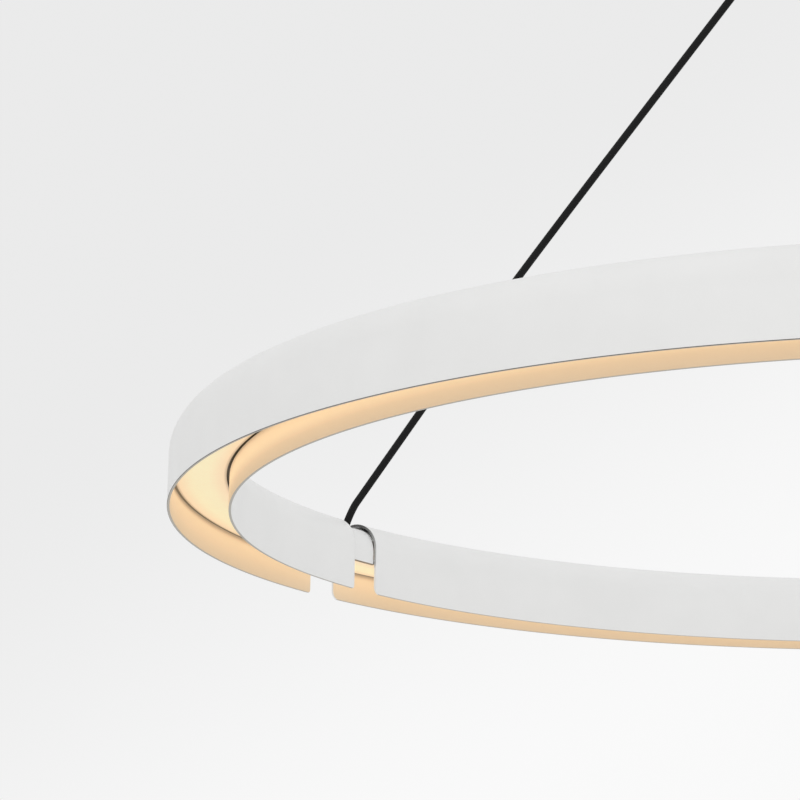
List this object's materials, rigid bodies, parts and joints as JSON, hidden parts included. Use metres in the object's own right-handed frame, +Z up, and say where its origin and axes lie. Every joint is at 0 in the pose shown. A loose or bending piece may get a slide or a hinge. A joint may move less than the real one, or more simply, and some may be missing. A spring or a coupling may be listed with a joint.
{
  "type": "ring pendant light",
  "caption": "Round pendant light: a white channel ring with a recessed warm opal diffuser, hung by slanted black cables from a ceiling canopy with a driver inside.",
  "frame": {"origin": "centre of the ceiling plate's upper face, where the canopy meets the ceiling", "axes": "+Z up into the ceiling along the ring's axis; -Y is the side that the picture is taken from"},
  "size_m": [0.9, 0.9, 0.508],
  "materials": {
    "painted_profile": "matte white powder coat",
    "painted_block": "matte white powder coat",
    "painted_cover": "matte white powder coat",
    "opal_diffuser": "satin opal, lit warm white",
    "board_metal": "white solder mask on metal",
    "light_chip": "yellow phosphor",
    "lead_insulation": "smooth white insulation",
    "black_plastic": "fine matte black",
    "cable_sheath": "matte black sheath",
    "grip_rubber": "matte black rubber",
    "brass": "bright turned brass",
    "zinc_steel": "bright zinc plating",
    "driver_case": "fine matte white",
    "terminal_plastic": "natural plastic"
  },
  "bodies": {
    "luminaire": {"profile_segment_1": "painted_profile", "profile_segment_2": "painted_profile", "profile_segment_3": "painted_profile", "joint_block_1": "painted_block", "joint_block_2": "painted_block", "joint_block_3": "painted_block", "diffuser_1": "opal_diffuser", "diffuser_2": "opal_diffuser", "diffuser_3": "opal_diffuser", "light_board_1": "board_metal", "light_board_2": "board_metal", "light_board_3": "board_metal", "light_chips_1": "light_chip", "light_chips_2": "light_chip", "light_chips_3": "light_chip", "light_lead_1": "lead_insulation", "light_lead_2": "lead_insulation", "light_lead_3": "lead_insulation", "cable_gland_1": "black_plastic", "cable_gland_2": "black_plastic", "cable_gland_3": "black_plastic", "suspension_cable_1": "cable_sheath", "suspension_cable_2": "cable_sheath", "suspension_cable_3": "cable_sheath", "grip_body_1": "black_plastic", "grip_body_2": "black_plastic", "grip_body_3": "black_plastic", "grip_insert_1": "grip_rubber", "grip_insert_2": "grip_rubber", "grip_insert_3": "grip_rubber", "grip_locknut_1": "brass", "grip_locknut_2": "brass", "grip_locknut_3": "brass", "joint_screws": "zinc_steel", "ceiling_plate": "zinc_steel", "canopy_cover": "painted_cover", "cover_screws": "zinc_steel", "mains_grommet": "grip_rubber", "led_driver": "driver_case", "driver_screws": "zinc_steel", "terminal_block": "terminal_plastic", "terminal_screws": "brass", "earth_screw": "brass"},
    "grip_nut_1": {"grip_nut_1": "black_plastic"},
    "grip_nut_2": {"grip_nut_2": "black_plastic"},
    "grip_nut_3": {"grip_nut_3": "black_plastic"}
  },
  "joints": [
    {"name": "grip_nut_1_turn", "type": "hinge", "parent": "luminaire", "child": "grip_nut_1", "pos_m": [-0.06797, 0.0317, -0.06], "axis": [0, 0, -1], "range_deg": [0, 360]},
    {"name": "grip_nut_2_turn", "type": "hinge", "parent": "luminaire", "child": "grip_nut_2", "pos_m": [0.00654, -0.07472, -0.06], "axis": [0, 0, -1], "range_deg": [0, 360]},
    {"name": "grip_nut_3_turn", "type": "hinge", "parent": "luminaire", "child": "grip_nut_3", "pos_m": [0.06144, 0.04302, -0.06], "axis": [0, 0, -1], "range_deg": [0, 360]}
  ]
}
